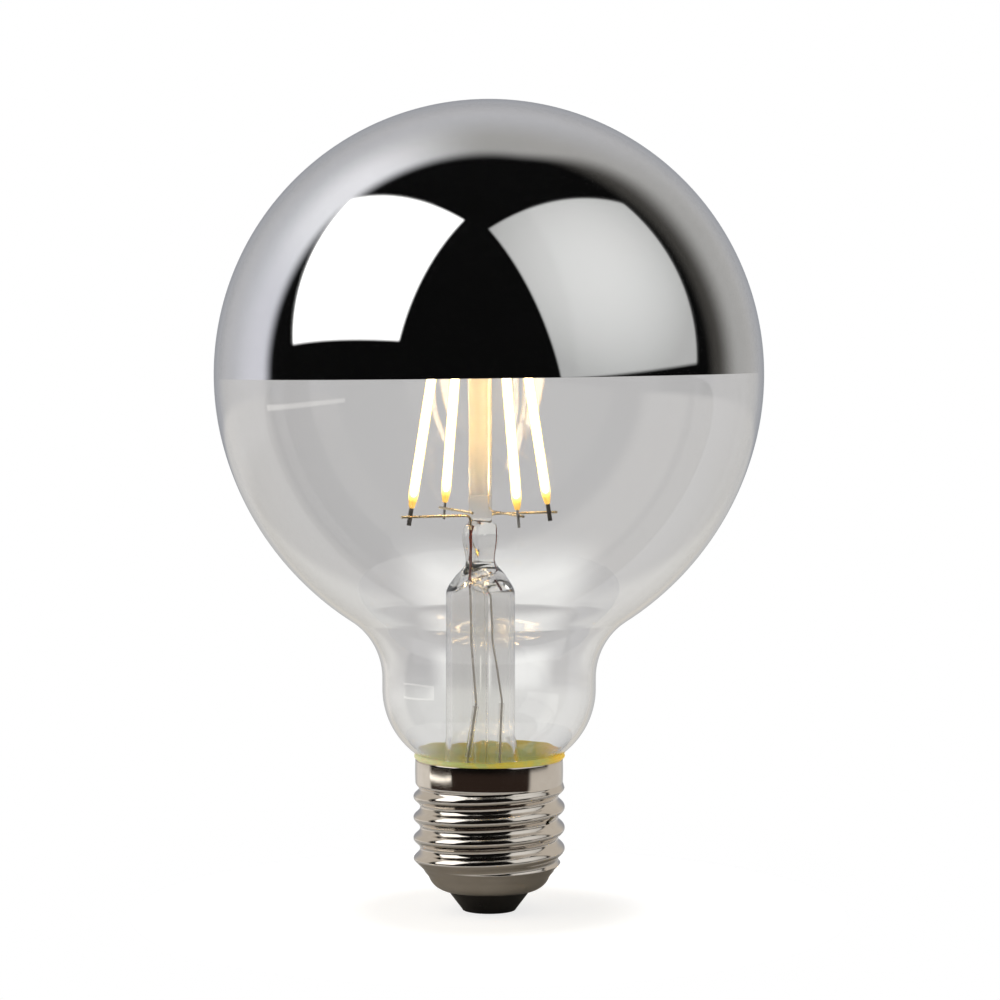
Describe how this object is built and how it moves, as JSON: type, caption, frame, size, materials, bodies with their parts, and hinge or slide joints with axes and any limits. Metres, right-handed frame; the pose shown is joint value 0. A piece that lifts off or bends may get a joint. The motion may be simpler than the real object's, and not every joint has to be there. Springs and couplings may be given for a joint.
{
  "type": "silver crown globe bulb",
  "caption": "Clear glass globe bulb with a silvered crown, slanted filaments on a glass stem, and a screw cap.",
  "frame": {"origin": "middle of the centre contact's outer face, the lowest point of the bulb", "axes": "+Z along the bulb's axis from the cap to the silvered crown; the front faces -Y, with one filament foot near -X and one near -Y"},
  "size_m": [0.095, 0.095, 0.1409],
  "materials": {
    "clear_glass": "polished",
    "silver_film": "polished",
    "cap_metal": "polished",
    "insulator_black": "satin",
    "contact_metal": "satin",
    "cement": "satin",
    "stem_glass": "polished",
    "support_wire": "polished",
    "filament_coat": "matte",
    "pin_metal": "satin",
    "dumet_copper": "satin",
    "lead_wire": "satin",
    "clear_sleeve": "polished",
    "board": "satin",
    "can_metal": "satin",
    "package_black": "matte",
    "ferrite": "matte",
    "resistor_body": "satin"
  },
  "bodies": {
    "root": {"glass_envelope": "clear_glass", "crown_mirror": "silver_film", "cap_shell": "cap_metal", "cap_insulator": "insulator_black", "centre_contact": "contact_metal", "basing_cement": "cement", "stem_tube": "stem_glass", "exhaust_tube": "stem_glass", "support_post": "stem_glass", "bridge_wire_1": "support_wire", "bridge_wire_2": "support_wire", "filament_front_left": "filament_coat", "filament_front_right": "filament_coat", "filament_back_left": "filament_coat", "filament_back_right": "filament_coat", "lower_pin_front_left": "pin_metal", "lower_pin_front_right": "pin_metal", "lower_pin_back_left": "pin_metal", "lower_pin_back_right": "pin_metal", "upper_pin_front_left": "pin_metal", "upper_pin_front_right": "pin_metal", "upper_pin_back_left": "pin_metal", "upper_pin_back_right": "pin_metal", "feed_wire_left": "support_wire", "feed_wire_right": "support_wire", "branch_wire_left": "support_wire", "branch_wire_right": "support_wire", "dumet_wire_left": "dumet_copper", "dumet_wire_right": "dumet_copper", "outer_lead_left": "lead_wire", "outer_lead_right": "lead_wire", "lead_sleeve_left": "clear_sleeve", "lead_sleeve_right": "clear_sleeve", "driver_board": "board", "capacitor": "can_metal", "rectifier": "package_black", "driver_chip": "package_black", "choke": "ferrite", "fuse_resistor": "resistor_body", "shell_wire": "lead_wire", "contact_wire": "lead_wire"}
  },
  "joints": []
}
